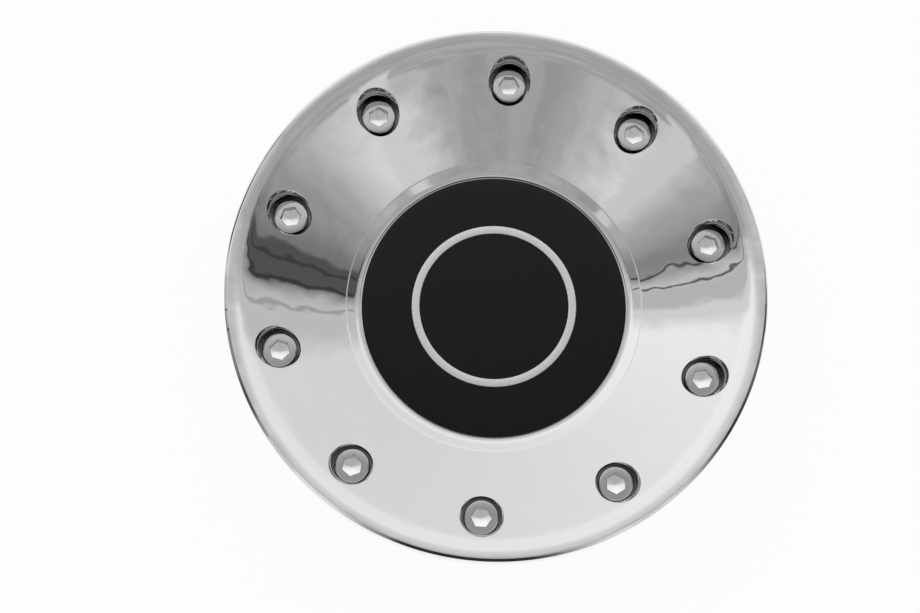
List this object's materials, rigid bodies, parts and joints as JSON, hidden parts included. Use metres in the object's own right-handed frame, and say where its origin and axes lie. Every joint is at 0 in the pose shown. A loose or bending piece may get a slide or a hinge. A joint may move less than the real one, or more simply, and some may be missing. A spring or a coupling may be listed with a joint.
{
  "type": "wheel center cap",
  "caption": "Round bright-plated wheel center cap: a dished face with recessed dummy socket screws round a black emblem disc, and snap legs with a wire spring ring behind.",
  "frame": {"origin": "on the cap's axis, in the plane of the leg tips", "axes": "+Z along the cap's axis, out of the face; +Y through the centre of one dummy screw"},
  "size_m": [0.16, 0.16, 0.0335],
  "materials": {
    "plated_plastic": "mirror plated",
    "black_gloss": "gloss",
    "bright_inlay": "satin",
    "plated_screws": "plated",
    "spring_wire": "drawn wire"
  },
  "bodies": {
    "root": {"cap_shell": "plated_plastic", "emblem_disc": "black_gloss", "emblem_ring": "bright_inlay", "dummy_screws": "plated_screws", "spring_ring": "spring_wire"}
  },
  "joints": []
}
